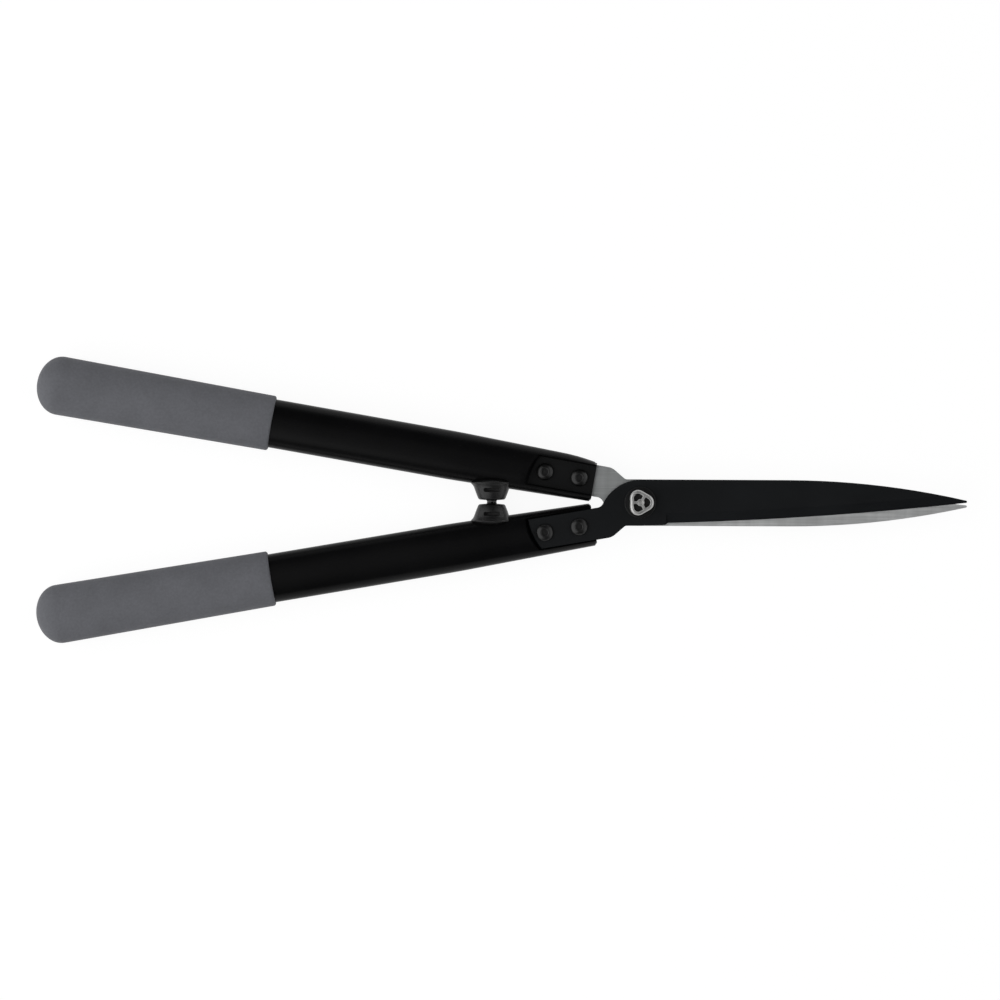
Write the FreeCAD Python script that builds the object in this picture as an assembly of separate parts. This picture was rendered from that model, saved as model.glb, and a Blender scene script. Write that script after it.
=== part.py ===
import FreeCAD, Part
import math
import os

# Hedge shears: two halves, each a blade bolted to an oval tube handle, cross on one pivot. The
# right half carries the top blade. The left half is the same half turned over about the X axis,
# so its blade lies underneath, and only its tube has a longer rounded corner in front.
#
# Lengths are in millimetres and angles in degrees. X runs from the pivot to the tips of the
# closed blades, Y towards the left handle, and Z up the pivot towards its nut. The origin is the
# centre of the flat underside of the pivot bolt's head. Every piece is modelled about the shear
# plane, which lies between the blades, and is raised to its height when it is written.

Vector = FreeCAD.Vector

# How far a cut runs past the surface that it opens
cut_overrun = 1.0

# Blades, each with its cutting edge towards its own handle's side
blade_thickness = 3.5
blade_gap = 0.1
blade_reach = 202.7
tip_width = 1.4
tip_height = 1.45
tip_rounding = 0.6
spine_height = 14.35
spine_straight_end = 92.0
edge_start_x = 17.4
edge_start_depth = 12.5
edge_belly = 1.97
edge_thickness = 0.7
bevel_width = 6.0
bevel_start_x = 16.3
blade_edge_break = 0.35

# Heel round the pivot, and the neck that turns into the handle's direction
heel_front_x = 15.4
heel_front_depth = 13.8
heel_middle_x = 0.9
heel_depth = 14.4
heel_back_x = -9.1
heel_arc_x = 1.1
heel_arc_radius = 26.8
neck_slope = 41.2
neck_hollow_radius = 3.0
neck_shoulder_radius = 9.0
crotch_radius = 4.5

# Direction of a handle, and how far its axis passes beside the pivot
handle_angle = 9.8
handle_offset = 8.5

# Tang of the blade, let into a pocket that is pressed into the handle's front end
tang_width = 19.6
tang_end_radius = 36.6
tang_end_margin = 7.7
tang_end_inward = 9.3
tang_clearance = 0.4
screw_pocket_width = 17.8
pocket_end_lean = 2.3
tang_pocket_lean = 0.5
screw_pocket_lean = 1.6

# Oval handle tube, tapering towards its pressed front end
tube_front = 30.4
tube_taper_end = 118.0
tube_end = 365.0
tube_width = 30.2
tube_height = 20.0
tube_front_width = 26.4
tube_front_height = 16.4
tube_wall = 1.5
front_outer_chamfer = 1.5
front_inner_chamfer = 1.2
left_corner_length = 21.6
left_corner_drop = 2.0
left_corner_belly = 0.5
tube_midline_clearance = 0.3

# Button-head screws, washers and locknuts through tang and handle
screw_station = 39.8
screw_pitch = 21.6
screw_radius = 3.0
screw_length = 14.0
screw_hole_clearance = 0.2
screw_end_chamfer = 0.5
screw_head_radius = 5.25
screw_head_height = 3.3
screw_head_rim = 0.5
screw_head_flat_radius = 2.6
screw_head_bulge = 0.85
screw_socket_width = 4.0
screw_socket_depth = 2.1
washer_radius = 6.0
washer_thickness = 1.6
locknut_width = 10.0
locknut_hex_height = 4.0
locknut_collar_height = 1.5
locknut_collar_radius = 4.5
locknut_corner_drop = 0.5
thread_clearance = 0.05

# Pivot bolt with a flat round head and a square neck
bolt_head_radius = 9.0
bolt_head_height = 4.0
bolt_head_chamfer = 0.6
bolt_neck_clearance = 0.1
bolt_neck_drop = 0.2
bolt_radius = 4.0
bolt_end_chamfer = 0.6
bolt_engagement = 5.0
pivot_clearance = 0.05

# Washers and tension nut above the top blade
pivot_washer_radius = 9.75
pivot_washer_thickness = 1.5
pivot_washer_chamfer = 0.3
pivot_washer_gap = 0.1
spring_washer_radius = 6.2
spring_washer_thickness = 0.8
spring_washer_rise = 0.5
pivot_nut_gap = 0.1
pivot_nut_height = 9.0
pivot_nut_inradius = 6.6
pivot_nut_vertex_rounding = 5.0
pivot_nut_top_rounding = 1.2
pivot_nut_rim = 2.3
pivot_nut_pocket_depth = 2.4
pivot_nut_spoke = 1.8
pivot_nut_hub_radius = 2.3
pivot_nut_dimple_radius = 1.35
pivot_nut_dimple_depth = 0.5
pivot_nut_bore_room = 0.2

# Soft grips over the rear of the tubes, with rounded closed ends
grip_front = 233.0
grip_front_width = 34.2
grip_rear_width = 36.4
grip_height_share = 0.694
grip_front_rounding = 1.5
grip_end_depth = 14.6
grip_end = 380.8
grip_glue_gap = 0.1

# Plugs that close the tube ends inside the grips
plug_depth = 12.0
plug_flange = 1.8
plug_fit = 0.1

# Rubber bumpers between the handles
bumper_station = 92.2
bumper_contact_gap = 0.1
bumper_nub_radius = 3.1
bumper_nub_height = 1.4
bumper_face_radius = 8.2
bumper_face_rounding = 0.8
bumper_waist_radius = 11.0
bumper_waist_setback = 0.8
bumper_foot_radius = 13.2
bumper_foot_wrap = 2.0
bumper_back_radius = 9.5
bumper_back_wrap = 4.4
bumper_height_share = 0.8
bumper_slot_length = 10.0
bumper_slot_width = 2.4
bumper_slot_clearance = 1.2
bumper_slot_web = 4.0
bumper_slot_rounding_share = 0.95
bumper_tube_gap = 0.05
bumper_stem_radius = 3.0
bumper_stem_clearance = 0.15
bumper_stem_root = 0.7
bumper_barb_standoff = 2.6
bumper_barb_radius = 4.0
bumper_barb_length = 3.5
bumper_barb_tip_radius = 2.4

# Values that follow from the sizes above
half_turn = 180.0
full_turn = 360.0
hexagon_sides = 6
nut_vertices = 3
inner_face = blade_gap / 2
outer_face = inner_face + blade_thickness
shear_plane_height = bolt_head_height + outer_face
bolt_neck_width = 2 * bolt_radius
web_thickness = 2 * tube_wall
handle_drop = web_thickness / 2 - inner_face
tall = tube_height + blade_thickness
tang_end_reach = math.sqrt(tang_end_radius ** 2 - tang_end_inward ** 2)
tang_end_along = screw_station + screw_pitch + tang_end_margin - tang_end_reach
pivot_washer_bottom = outer_face + pivot_washer_gap
spring_washer_bottom = pivot_washer_bottom + pivot_washer_thickness
spring_washer_height = spring_washer_thickness + spring_washer_rise
pivot_nut_bottom = spring_washer_bottom + spring_washer_height + pivot_nut_gap


def line(start, end):
    """A straight edge."""
    return Part.LineSegment(start, end).toShape()


def arc(start, middle, end):
    """A round edge through three points."""
    return Part.Arc(start, middle, end).toShape()


def bulge_point(start, end, bulge):
    """The middle of an arc that stands out to the right of the line from start to end."""
    along = (end - start).normalize()
    return (start + end) * 0.5 + Vector(along.y, -along.x, 0) * bulge


def rounding(before, corner, after, radius):
    """The start, middle and end of the arc that rounds the corner between two lines."""
    back = (before - corner).normalize()
    onward = (after - corner).normalize()
    half_angle = back.getAngle(onward) / 2
    reach = radius / math.tan(half_angle)
    centre = corner + (back + onward).normalize() * (radius / math.sin(half_angle))
    middle = centre + (corner - centre).normalize() * radius
    return corner + back * reach, middle, corner + onward * reach


def crossing(point, direction, other_point, other_direction):
    """Where two lines in the XY plane cross."""
    across = Vector(-other_direction.y, other_direction.x, 0)
    travel = (other_point - point).dot(across) / direction.dot(across)
    return point + direction * travel


def rounded_outline(corners):
    """A closed outline through corners, each given with the radius that rounds it or 0."""
    edges = []
    ends = []
    for number, (corner, radius) in enumerate(corners):
        before = corners[number - 1][0]
        after = corners[(number + 1) % len(corners)][0]
        if radius:
            start, middle, end = rounding(before, corner, after, radius)
            edges.append(arc(start, middle, end))
            ends.append((start, end))
        else:
            ends.append((corner, corner))
    for number, (start, end) in enumerate(ends):
        edges.append(line(end, ends[(number + 1) % len(ends)][0]))
    return Part.Wire(Part.__sortEdges__(edges))


def prism(outline, bottom, top):
    """A solid over an outline in the XY plane, between two levels."""
    face = Part.Face(outline)
    face.translate(Vector(0, 0, bottom))
    return face.extrude(Vector(0, 0, top - bottom))


def block(low, high):
    """A box between two corners."""
    size = high - low
    return Part.makeBox(size.x, size.y, size.z, low)


def drill(place, radius, bottom, top):
    """An upright cylinder at a place, between two levels."""
    foot = Vector(place.x, place.y, bottom)
    return Part.makeCylinder(radius, top - bottom, foot)


def hexagon(width, bottom, top):
    """A six-sided prism about the Z axis, measured across its flats."""
    corner_radius = width / math.sqrt(3)
    corners = []
    for number in range(hexagon_sides):
        angle = math.radians(full_turn * number / hexagon_sides)
        corners.append((Vector(math.cos(angle), math.sin(angle), 0) * corner_radius, 0))
    return prism(rounded_outline(corners), bottom, top)


def turned(edges):
    """A solid of revolution about the Z axis, from a closed profile in the XZ plane."""
    face = Part.Face(Part.Wire(edges))
    return face.revolve(Vector(), Vector(0, 0, 1), full_turn)


def turned_polygon(points):
    """A solid of revolution about the Z axis, from (radius, level) corners."""
    corners = [Vector(radius, 0, level) for radius, level in points]
    return turned(Part.makePolygon(corners + corners[:1]).Edges)


def handle_point(along, outward):
    """A point of the right half, along its handle and outward from the handle's axis."""
    angle = math.radians(half_turn + handle_angle)
    sideways = outward + handle_offset
    x = along * math.cos(angle) - sideways * math.sin(angle)
    y = along * math.sin(angle) + sideways * math.cos(angle)
    return Vector(x, y, 0)


def on_handle(shape):
    """Places a shape modelled along X, about the handle's axis, on the right half."""
    moved = shape.translated(Vector(0, handle_offset, -handle_drop))
    return moved.rotated(Vector(), Vector(0, 0, 1), half_turn + handle_angle)


def turned_over(shape):
    """The left half's piece, from the right half's."""
    return shape.rotated(Vector(), Vector(1, 0, 0), half_turn)


def edge_arc_points():
    """The ends and the middle of the cutting edge, from its start to the tip."""
    start = Vector(edge_start_x, -edge_start_depth, 0)
    end = Vector(blade_reach - tip_rounding, tip_height - tip_width / 2, 0)
    return start, bulge_point(start, end, edge_belly), end


def spine_edges():
    """The straight spine and the arc that falls from it to the tip."""
    start = Vector(heel_arc_x, spine_height, 0)
    bend = Vector(spine_straight_end, spine_height, 0)
    end = Vector(blade_reach - tip_rounding, tip_height + tip_width / 2, 0)
    fall = bend - end
    turn = 2 * math.atan2(fall.y, -fall.x)
    radius = -fall.x / math.sin(turn)
    half = turn / 2
    middle = bend + Vector(math.sin(half), math.cos(half) - 1, 0) * radius
    return [line(start, bend), arc(bend, middle, end)]


def tang_end_point(outward):
    """The point of the tang's rounded end at a distance outward from the handle's axis."""
    sideways = outward + tang_end_inward
    along = tang_end_along + math.sqrt(tang_end_radius ** 2 - sideways ** 2)
    return handle_point(along, outward)


def neck_edges():
    """The outline from the heel's front corner round the tang to the top of the heel arc."""
    tang_side = tang_width / 2
    handle_direction = handle_point(tube_end, 0) - handle_point(0, 0)
    tang_outer = tang_end_point(tang_side)
    tang_inner = tang_end_point(-tang_side)
    front = Vector(heel_front_x, -heel_front_depth, 0)
    middle = Vector(heel_middle_x, -heel_depth, 0)
    back = Vector(heel_back_x, -heel_depth, 0)
    slope = math.radians(half_turn + neck_slope)
    downhill = Vector(math.cos(slope), math.sin(slope), 0)
    shoulder = crossing(back, downhill, tang_outer, handle_direction)
    hollow = rounding(middle, back, shoulder, neck_hollow_radius)
    round_shoulder = rounding(back, shoulder, tang_outer, neck_shoulder_radius)

    # The crotch arc touches the tang's inner side and the heel arc from outside both.
    heel_centre = Vector(heel_arc_x, spine_height - heel_arc_radius, 0)
    inward = (handle_point(0, -tang_side) - handle_point(0, tang_side)).normalize()
    onward = Vector(handle_direction).normalize()
    start = handle_point(0, -tang_side) + inward * crotch_radius - heel_centre
    beside = start.dot(inward)
    reach = math.sqrt((heel_arc_radius + crotch_radius) ** 2 - beside ** 2)
    crotch_centre = heel_centre + inward * beside + onward * reach
    crotch_start = crotch_centre - inward * crotch_radius
    to_heel = (heel_centre - crotch_centre).normalize()
    crotch_end = crotch_centre + to_heel * crotch_radius
    crotch_middle = crotch_centre + (to_heel - inward).normalize() * crotch_radius
    heel_top = Vector(heel_arc_x, spine_height, 0)
    heel_bisector = (crotch_end + heel_top) * 0.5 - heel_centre
    heel_middle = heel_centre + heel_bisector.normalize() * heel_arc_radius

    return [
        line(front, middle),
        line(middle, hollow[0]),
        arc(*hollow),
        line(hollow[2], round_shoulder[0]),
        arc(*round_shoulder),
        line(round_shoulder[2], tang_outer),
        arc(tang_outer, tang_end_point(0), tang_inner),
        line(tang_inner, crotch_start),
        arc(crotch_start, crotch_middle, crotch_end),
        arc(crotch_end, heel_middle, heel_top),
    ]


def blade_outline():
    """The blade's whole outline, seen from its outer face."""
    edge_start, edge_middle, edge_end = edge_arc_points()
    spine = spine_edges()
    spine_end = Vector(edge_end.x, tip_height + tip_width / 2, 0)
    tip = Vector(blade_reach, tip_height, 0)
    front = Vector(heel_front_x, -heel_front_depth, 0)
    edges = spine + [
        arc(spine_end, tip, edge_end),
        arc(edge_end, edge_middle, edge_start),
        line(edge_start, front),
    ]
    return Part.Wire(edges + neck_edges())


def bevel_cutter():
    """What grinding takes off the outer face along the cutting edge."""
    start, middle, end = edge_arc_points()
    half_chord = (end - start).Length / 2
    radius = half_chord ** 2 / (2 * edge_belly) + edge_belly / 2
    centre = middle + ((start + end) * 0.5 - middle).normalize() * radius
    rise = (blade_thickness - edge_thickness) / bevel_width
    outer_radius = radius + cut_overrun
    inner_radius = radius - bevel_width - cut_overrun
    low = inner_face + edge_thickness - cut_overrun * rise
    high = outer_face + cut_overrun * rise
    first = math.asin((bevel_start_x - centre.x) / radius)
    last = math.asin((blade_reach + cut_overrun - centre.x) / radius)
    toward = Vector(math.sin(first), -math.cos(first), 0)
    corners = [
        centre + toward * outer_radius + Vector(0, 0, low),
        centre + toward * inner_radius + Vector(0, 0, high),
        centre + toward * outer_radius + Vector(0, 0, high),
    ]
    face = Part.Face(Part.makePolygon(corners + corners[:1]))
    return face.revolve(centre, Vector(0, 0, 1), math.degrees(last - first))


def screw_places():
    """The places of the right half's two tang screws, the front one first."""
    return [handle_point(screw_station + screw_pitch * number, 0) for number in range(2)]


def is_sharpened(place):
    """Whether a place on the outline belongs to the cutting edge or the tip."""
    return place.x > heel_front_x and place.y < tip_height + tip_width / 2


def blade(pivot_hole):
    """The top blade in its place, with the given pivot hole cut from it."""
    body = prism(blade_outline(), inner_face, outer_face)
    level = [face for face in body.Faces if face.CenterOfMass.z > outer_face - blade_edge_break]
    blunt = [edge for edge in level[0].Edges if not is_sharpened(edge.CenterOfMass)]
    body = body.makeChamfer(blade_edge_break, blunt)
    body = body.cut(bevel_cutter())
    for place in screw_places():
        radius = screw_radius + screw_hole_clearance
        body = body.cut(drill(place, radius, -cut_overrun, outer_face + cut_overrun))
    return body.cut(pivot_hole)


def oval(station, width, height):
    """An upright oval wire across the X axis."""
    centre = Vector(station, 0, 0)
    side = Vector(station, width / 2, 0)
    top = Vector(station, 0, height / 2)
    if height > width:
        side, top = top, side
    return Part.Wire(Part.Ellipse(side, top, centre).toShape())


def oval_run(end, growth):
    """The tube's outer shape from its front to a station, grown all round."""
    width = tube_width + 2 * growth
    height = tube_height + 2 * growth
    front = oval(tube_front, tube_front_width + 2 * growth, tube_front_height + 2 * growth)
    taper_end = oval(tube_taper_end, width, height)
    return Part.makeLoft([front, taper_end, oval(end, width, height)], True, True)


def tube_side_at(station):
    """Half the tube's width at a station in its taper."""
    share = (station - tube_front) / (tube_taper_end - tube_front)
    return (tube_front_width + (tube_width - tube_front_width) * min(1, share)) / 2


def pressed_pocket(width, side_lean):
    """A pocket above the web. Its walls lean out by the given amount at the tube's top."""
    floor = web_thickness / 2
    steepness = tall / (tube_height / 2 - floor)
    end_radius = tang_end_radius + tang_clearance
    top_radius = end_radius + pocket_end_lean * steepness
    centre = Vector(tang_end_along, -tang_end_inward, floor)
    rounded_end = Part.makeCone(end_radius, top_radius, tall, centre)
    front = tube_front - cut_overrun
    side = width / 2
    top_side = side + side_lean * steepness
    corners = [
        Vector(front, -side, floor),
        Vector(front, side, floor),
        Vector(front, top_side, floor + tall),
        Vector(front, -top_side, floor + tall),
    ]
    opening = Part.Face(Part.makePolygon(corners + corners[:1]))
    return rounded_end.common(opening.extrude(Vector(tube_end, 0, 0)))


def front_pockets():
    """The pocket above the web, for the tang, and the one below it, for the screws' far ends."""
    tang_pocket = pressed_pocket(tang_width + 2 * tang_clearance, tang_pocket_lean)
    screw_pocket = pressed_pocket(screw_pocket_width, screw_pocket_lean)
    return tang_pocket, screw_pocket.mirror(Vector(), Vector(0, 0, 1))


def front_corner_plan():
    """An upright prism that leaves the tube its chamfered front corners."""
    side = tube_front_width / 2
    wide = tube_width / 2 + cut_overrun
    outer = side - front_outer_chamfer
    inner = side - front_inner_chamfer
    back = tube_end + cut_overrun
    corners = [
        (Vector(tube_front, -inner, 0), 0),
        (Vector(tube_front + wide - inner, -wide, 0), 0),
        (Vector(back, -wide, 0), 0),
        (Vector(back, wide, 0), 0),
        (Vector(tube_front + wide - outer, wide, 0), 0),
        (Vector(tube_front, outer, 0), 0),
    ]
    return prism(rounded_outline(corners), -tall, tall)


def left_corner():
    """What the longer, rounded front corner of the left tube takes off, on the right half."""
    back = tube_front + left_corner_length
    start = Vector(back, tube_side_at(back), 0)
    beyond = Vector(0, cut_overrun, 0)
    end = Vector(tube_front + front_outer_chamfer, tube_front_width / 2 - left_corner_drop, 0)
    chamfer_run = front_outer_chamfer + cut_overrun
    chamfer_end = end - Vector(chamfer_run, chamfer_run, 0)
    front = Vector(chamfer_end.x, start.y, 0)
    edges = [
        arc(start, bulge_point(start, end, left_corner_belly), end),
        line(end, chamfer_end),
        line(chamfer_end, front + beyond),
        line(front + beyond, start + beyond),
        line(start + beyond, start),
    ]
    return on_handle(prism(Part.Wire(edges), -tall, tall))


def beyond_midline():
    """The space that the right half leaves to the left half's tube."""
    low = Vector(-tube_end, -tube_midline_clearance, -tall)
    return block(low, Vector(tube_end, tube_end, tall))


def handle_tube():
    """The right half's tube: pressed flat and pocketed in front, hollow behind."""
    body = oval_run(tube_end, 0)
    solid_radius = tang_end_radius + tang_clearance + pocket_end_lean + tube_wall
    solid_centre = Vector(tang_end_along, -tang_end_inward, -tall)
    solid_end = Part.makeCylinder(solid_radius, 2 * tall, solid_centre)
    hollow = oval_run(tube_end + cut_overrun, -tube_wall)
    front_block = block(
        Vector(0, -tube_width, -tall),
        Vector(tang_end_along, tube_width, tall),
    )
    body = body.cut(hollow.cut(solid_end).cut(front_block))
    for pocket in front_pockets():
        body = body.cut(pocket)
    body = on_handle(body.common(front_corner_plan()))
    body = body.cut(beyond_midline())
    for place in screw_places():
        body = body.cut(drill(place, screw_radius + screw_hole_clearance, -tall, tall))
    return body.cut(bumper_stem(bumper_stem_clearance))


def grip():
    """The right half's grip, a closed sleeve that swells towards its rounded end."""
    front_side = grip_front_width / 2
    rear_side = grip_rear_width / 2
    cap_start = grip_end - grip_end_depth
    axis_front = Vector(grip_front, 0, 0)
    axis_rear = Vector(grip_end, 0, 0)
    corner = Vector(grip_front, front_side, 0)
    rear = Vector(cap_start, rear_side, 0)
    rim = rounding(axis_front, corner, rear, grip_front_rounding)
    cap = Part.Ellipse(rear, axis_rear, Vector(cap_start, 0, 0))
    quarter = math.pi / 2
    edges = [
        line(axis_front, rim[0]),
        arc(*rim),
        line(rim[2], rear),
        Part.ArcOfEllipse(cap, 0, quarter).toShape(),
        line(axis_rear, axis_front),
    ]
    body = Part.Face(Part.Wire(edges)).revolve(Vector(), Vector(1, 0, 0), full_turn)
    squash = FreeCAD.Matrix()
    squash.scale(1, 1, grip_height_share)
    body = body.transformGeometry(squash)
    room = tube_end + plug_flange + grip_glue_gap
    cavity = oval_run(room, grip_glue_gap)
    return on_handle(body.cut(cavity))


def tube_plug():
    """The right half's plug, with a flange over the tube's end."""
    inset = -tube_wall - plug_fit
    stem = oval_run(tube_end, inset)
    keep = block(
        Vector(tube_end - plug_depth, -tube_width, -tall),
        Vector(tube_end + cut_overrun, tube_width, tall),
    )
    flange = Part.Face(oval(tube_end, tube_width, tube_height))
    flange = flange.extrude(Vector(plug_flange, 0, 0))
    return on_handle(stem.common(keep).fuse(flange).removeSplitter())


def bumper_seat():
    """The point of the right tube's inner side that carries the bumper."""
    return handle_point(bumper_station, -tube_side_at(bumper_station))


def on_bumper_axis(shape):
    """Places a shape that grows up from Z = 0 so that it grows outward from the midline."""
    laid = shape.rotated(Vector(), Vector(1, 0, 0), half_turn / 2)
    return laid.translated(Vector(bumper_seat().x, 0, -handle_drop))


def bumper_stem(growth):
    """The stem that goes through the tube's wall, grown all round."""
    seat = -bumper_seat().y
    root = seat - bumper_stem_root
    length = bumper_stem_root + tube_wall + bumper_barb_standoff
    stem = Part.makeCylinder(bumper_stem_radius + growth, length, Vector(0, 0, root))
    return on_bumper_axis(stem)


def bumper():
    """The right handle's rubber bumper, with its slot, its nub and its barbed stem."""
    seat = -bumper_seat().y
    nub = bumper_contact_gap / 2
    face = nub + bumper_nub_height
    waist = Vector(bumper_waist_radius, 0, seat - bumper_waist_setback)
    foot = Vector(bumper_foot_radius, 0, seat + bumper_foot_wrap)
    back = Vector(bumper_back_radius, 0, seat + bumper_back_wrap)
    shoulder = rounding(
        Vector(0, 0, face),
        Vector(bumper_face_radius, 0, face),
        waist,
        bumper_face_rounding,
    )
    edges = [
        line(Vector(0, 0, face), shoulder[0]),
        arc(*shoulder),
        line(shoulder[2], waist),
        line(waist, foot),
        line(foot, back),
        line(back, Vector(0, 0, back.z)),
        line(Vector(0, 0, back.z), Vector(0, 0, face)),
    ]
    body = turned(edges)
    squash = FreeCAD.Matrix()
    squash.scale(1, bumper_height_share, 1)
    body = body.transformGeometry(squash)
    body = body.fuse(drill(Vector(), bumper_nub_radius, nub, waist.z))
    body = on_bumper_axis(body)
    for slot in bumper_slots():
        body = body.cut(slot)
    body = body.cut(on_handle(oval_run(tube_end, bumper_tube_gap)))
    shoulder_level = seat + tube_wall + bumper_barb_standoff
    barb = Part.makeCone(
        bumper_barb_radius,
        bumper_barb_tip_radius,
        bumper_barb_length,
        Vector(0, 0, shoulder_level),
    )
    return body.fuse(bumper_stem(0)).fuse(on_bumper_axis(barb)).removeSplitter()


def bumper_slots():
    """The slots, one from above and one from below, that let the bumper give."""
    length = bumper_slot_length / 2
    width = bumper_slot_width / 2
    level = bumper_seat().y + bumper_slot_clearance + width
    x = bumper_seat().x
    corners = [
        (Vector(x - length, level - width, 0), width * bumper_slot_rounding_share),
        (Vector(x + length, level - width, 0), width * bumper_slot_rounding_share),
        (Vector(x + length, level + width, 0), width * bumper_slot_rounding_share),
        (Vector(x - length, level + width, 0), width * bumper_slot_rounding_share),
    ]
    web = bumper_slot_web / 2
    upper = prism(rounded_outline(corners), web - handle_drop, tall)
    lower = prism(rounded_outline(corners), -tall, -web - handle_drop)
    return upper, lower


def tang_screw(place, seat):
    """A button-head screw that hangs from its seat."""
    head = screw_head_height
    rim = Vector(screw_head_radius, 0, screw_head_rim)
    crown = Vector(screw_head_flat_radius, 0, head)
    along = (crown - rim).normalize()
    middle = (rim + crown) * 0.5 + Vector(along.z, 0, -along.x) * screw_head_bulge
    tip = screw_radius - screw_end_chamfer
    edges = [
        line(Vector(0, 0, head), Vector(0, 0, -screw_length)),
        line(Vector(0, 0, -screw_length), Vector(tip, 0, -screw_length)),
        line(
            Vector(tip, 0, -screw_length),
            Vector(screw_radius, 0, screw_end_chamfer - screw_length),
        ),
        line(
            Vector(screw_radius, 0, screw_end_chamfer - screw_length),
            Vector(screw_radius, 0, 0),
        ),
        line(Vector(screw_radius, 0, 0), Vector(screw_head_radius, 0, 0)),
        line(Vector(screw_head_radius, 0, 0), rim),
        arc(rim, middle, crown),
        line(crown, Vector(0, 0, head)),
    ]
    socket = hexagon(screw_socket_width, head - screw_socket_depth, head + cut_overrun)
    body = turned(edges).cut(socket)
    return body.translated(Vector(place.x, place.y, seat))


def tang_washer(place, top):
    """A flat washer under a tang screw's nut."""
    bore = screw_radius + screw_hole_clearance
    body = turned_polygon([
        (bore, -washer_thickness),
        (washer_radius, -washer_thickness),
        (washer_radius, 0),
        (bore, 0),
    ])
    return body.translated(Vector(place.x, place.y, top))


def tang_locknut(place, top):
    """A hexagon locknut with a round collar, hanging under its washer."""
    corner = locknut_width / math.sqrt(3)
    flat = locknut_width / 2
    collar = -locknut_hex_height - locknut_collar_height
    bevelled = turned_polygon([
        (0, 0),
        (flat, 0),
        (corner, -locknut_corner_drop),
        (corner, locknut_corner_drop - locknut_hex_height),
        (flat, -locknut_hex_height),
        (0, -locknut_hex_height),
    ])
    body = hexagon(locknut_width, -locknut_hex_height, 0).common(bevelled)
    body = body.fuse(drill(Vector(), locknut_collar_radius, collar, -locknut_corner_drop))
    bore = drill(Vector(), screw_radius + thread_clearance, collar - cut_overrun, cut_overrun)
    return body.cut(bore).translated(Vector(place.x, place.y, top))


def pivot_bolt():
    """The pivot bolt, whose square neck keeps it from turning in the bottom blade."""
    bottom = -shear_plane_height
    top_of_head = bottom + bolt_head_height
    end = pivot_nut_bottom + bolt_engagement
    body = turned_polygon([
        (0, bottom),
        (bolt_head_radius - bolt_head_chamfer, bottom),
        (bolt_head_radius, bottom + bolt_head_chamfer),
        (bolt_head_radius, top_of_head),
        (bolt_radius, top_of_head),
        (bolt_radius, end - bolt_end_chamfer),
        (bolt_radius - bolt_end_chamfer, end),
        (0, end),
    ])
    half = bolt_neck_width / 2
    neck = block(
        Vector(-half, -half, top_of_head - bolt_head_chamfer),
        Vector(half, half, -inner_face - bolt_neck_drop),
    )
    return body.fuse(neck).removeSplitter()


def square_pivot_hole():
    """The bottom blade's square hole, cut before that blade is turned over."""
    half = bolt_neck_width / 2 + bolt_neck_clearance
    return block(Vector(-half, -half, -tall), Vector(half, half, tall))


def round_pivot_hole():
    """The top blade's running bore."""
    return drill(Vector(), bolt_radius + pivot_clearance, -tall, tall)


def pivot_washer():
    """The broad washer between the top blade and the spring washer."""
    bore = bolt_radius + pivot_clearance
    top = pivot_washer_bottom + pivot_washer_thickness
    return turned_polygon([
        (bore, pivot_washer_bottom),
        (pivot_washer_radius, pivot_washer_bottom),
        (pivot_washer_radius, top - pivot_washer_chamfer),
        (pivot_washer_radius - pivot_washer_chamfer, top),
        (bore, top),
    ])


def pivot_spring_washer():
    """The conical spring washer that the nut presses on."""
    bore = bolt_radius + pivot_clearance
    bottom = spring_washer_bottom
    return turned_polygon([
        (bore, bottom + spring_washer_rise),
        (spring_washer_radius, bottom),
        (spring_washer_radius, bottom + spring_washer_thickness),
        (bore, bottom + spring_washer_height),
    ])


def triangle_outline(inradius, vertex_rounding):
    """A rounded triangle about the pivot, with one vertex towards the tips."""
    corners = []
    for number in range(nut_vertices):
        angle = math.radians(full_turn * number / nut_vertices)
        corner = Vector(math.cos(angle), math.sin(angle), 0) * (2 * inradius)
        corners.append((corner, vertex_rounding))
    return rounded_outline(corners)


def pivot_nut():
    """The cast tension nut, with three pockets between its spokes."""
    bottom = pivot_nut_bottom
    top = bottom + pivot_nut_height
    outline = triangle_outline(pivot_nut_inradius, pivot_nut_vertex_rounding)
    body = prism(outline, bottom, top)
    upper = [face for face in body.Faces if face.CenterOfMass.z > top - pivot_nut_rim]
    body = body.makeFillet(pivot_nut_top_rounding, upper[0].Edges)
    floor = top - pivot_nut_pocket_depth
    inner = triangle_outline(
        pivot_nut_inradius - pivot_nut_rim,
        pivot_nut_vertex_rounding - pivot_nut_rim,
    )
    pockets = prism(inner, floor, top + cut_overrun)
    pockets = pockets.cut(drill(Vector(), pivot_nut_hub_radius, bottom, top + tall))
    half = pivot_nut_spoke / 2
    for number in range(nut_vertices):
        spoke = block(Vector(0, -half, bottom), Vector(bolt_head_radius, half, top + tall))
        angle = (half_turn + full_turn * number) / nut_vertices
        pockets = pockets.cut(spoke.rotated(Vector(), Vector(0, 0, 1), angle))
    body = body.cut(pockets)
    dimple = top - pivot_nut_dimple_depth
    body = body.cut(drill(Vector(), pivot_nut_dimple_radius, dimple, top + cut_overrun))
    bore_top = bottom + bolt_engagement + pivot_nut_bore_room
    bore = bolt_radius + pivot_clearance
    return body.cut(drill(Vector(), bore, bottom - cut_overrun, bore_top))


def write(name, shape):
    """Raises a piece from the shear plane to its height and writes it."""
    raised = shape.translated(Vector(0, 0, shear_plane_height))
    raised.exportStep(os.path.join("parts", name + ".step"))


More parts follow.
